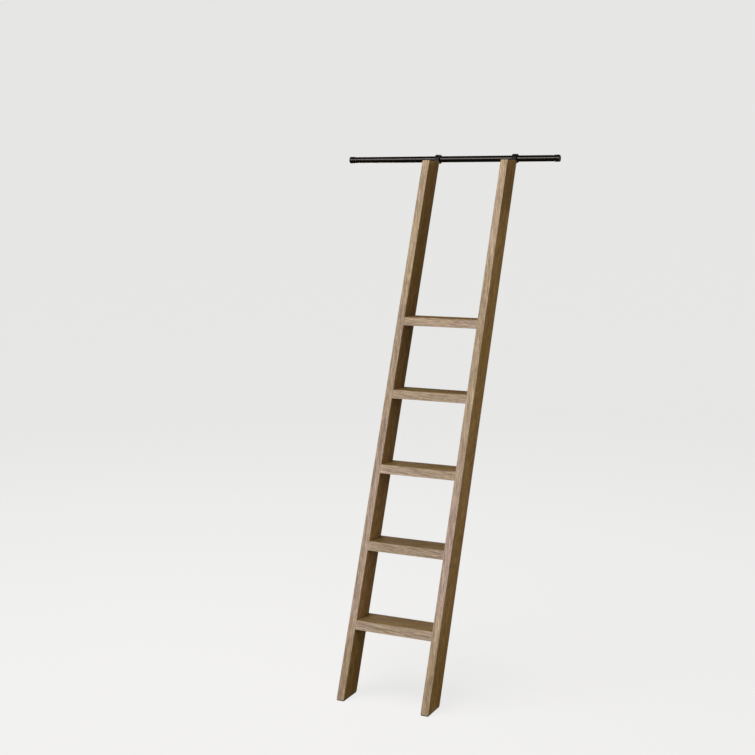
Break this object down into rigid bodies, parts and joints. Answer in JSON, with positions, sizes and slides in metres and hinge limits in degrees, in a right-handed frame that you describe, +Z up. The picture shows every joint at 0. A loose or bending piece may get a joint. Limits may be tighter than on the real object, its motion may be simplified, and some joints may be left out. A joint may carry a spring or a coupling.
{
  "type": "library ladder",
  "caption": "Leaning wooden library ladder with level treads, steel hooks over a round rail it slides along, and rubber foot pads.",
  "frame": {"origin": "on the floor, under the middle of the whole object's bounding box, so X = 0 is the middle of the rail", "axes": "+X along the rail to the climber's right, +Y from the climber toward the bookcase, +Z up"},
  "size_m": [0.916, 0.8416, 1.9853],
  "materials": {
    "oak": "wire-brushed weathered oak, matt grey-brown wash",
    "beech": "plain fluted dowel stock",
    "rail_steel": "satin black-bronze powder coat",
    "hook_steel": "satin dark steel",
    "screw_steel": "blackened zinc",
    "nylon": "moulded matt nylon",
    "pad_rubber": "matt rubber"
  },
  "bodies": {
    "rail": {"rail_tube": "rail_steel", "rail_ferrule_left": "rail_steel", "rail_ferrule_right": "rail_steel"},
    "liners": {"hook_liner_left": "nylon", "hook_liner_right": "nylon"},
    "ladder": {"stile_left": "oak", "stile_right": "oak", "tread_1": "oak", "tread_2": "oak", "tread_3": "oak", "tread_4": "oak", "tread_5": "oak", "tread_dowels_1": "beech", "tread_dowels_2": "beech", "tread_dowels_3": "beech", "tread_dowels_4": "beech", "tread_dowels_5": "beech", "hook_left": "hook_steel", "hook_right": "hook_steel", "hook_screws_left": "screw_steel", "hook_screws_right": "screw_steel", "foot_pad_left": "pad_rubber", "foot_pad_right": "pad_rubber", "foot_pad_screws_left": "screw_steel", "foot_pad_screws_right": "screw_steel"}
  },
  "joints": [
    {"name": "rail_slide", "type": "slide", "parent": "rail", "child": "liners", "axis": [1, 0, 0], "range_m": [-0.36, 0.144]},
    {"name": "ladder_tilt", "type": "hinge", "parent": "liners", "child": "ladder", "pos_m": [0.108, 0.40233, 1.96677], "axis": [-1, 0, 0], "range_deg": [0, 30]}
  ]
}
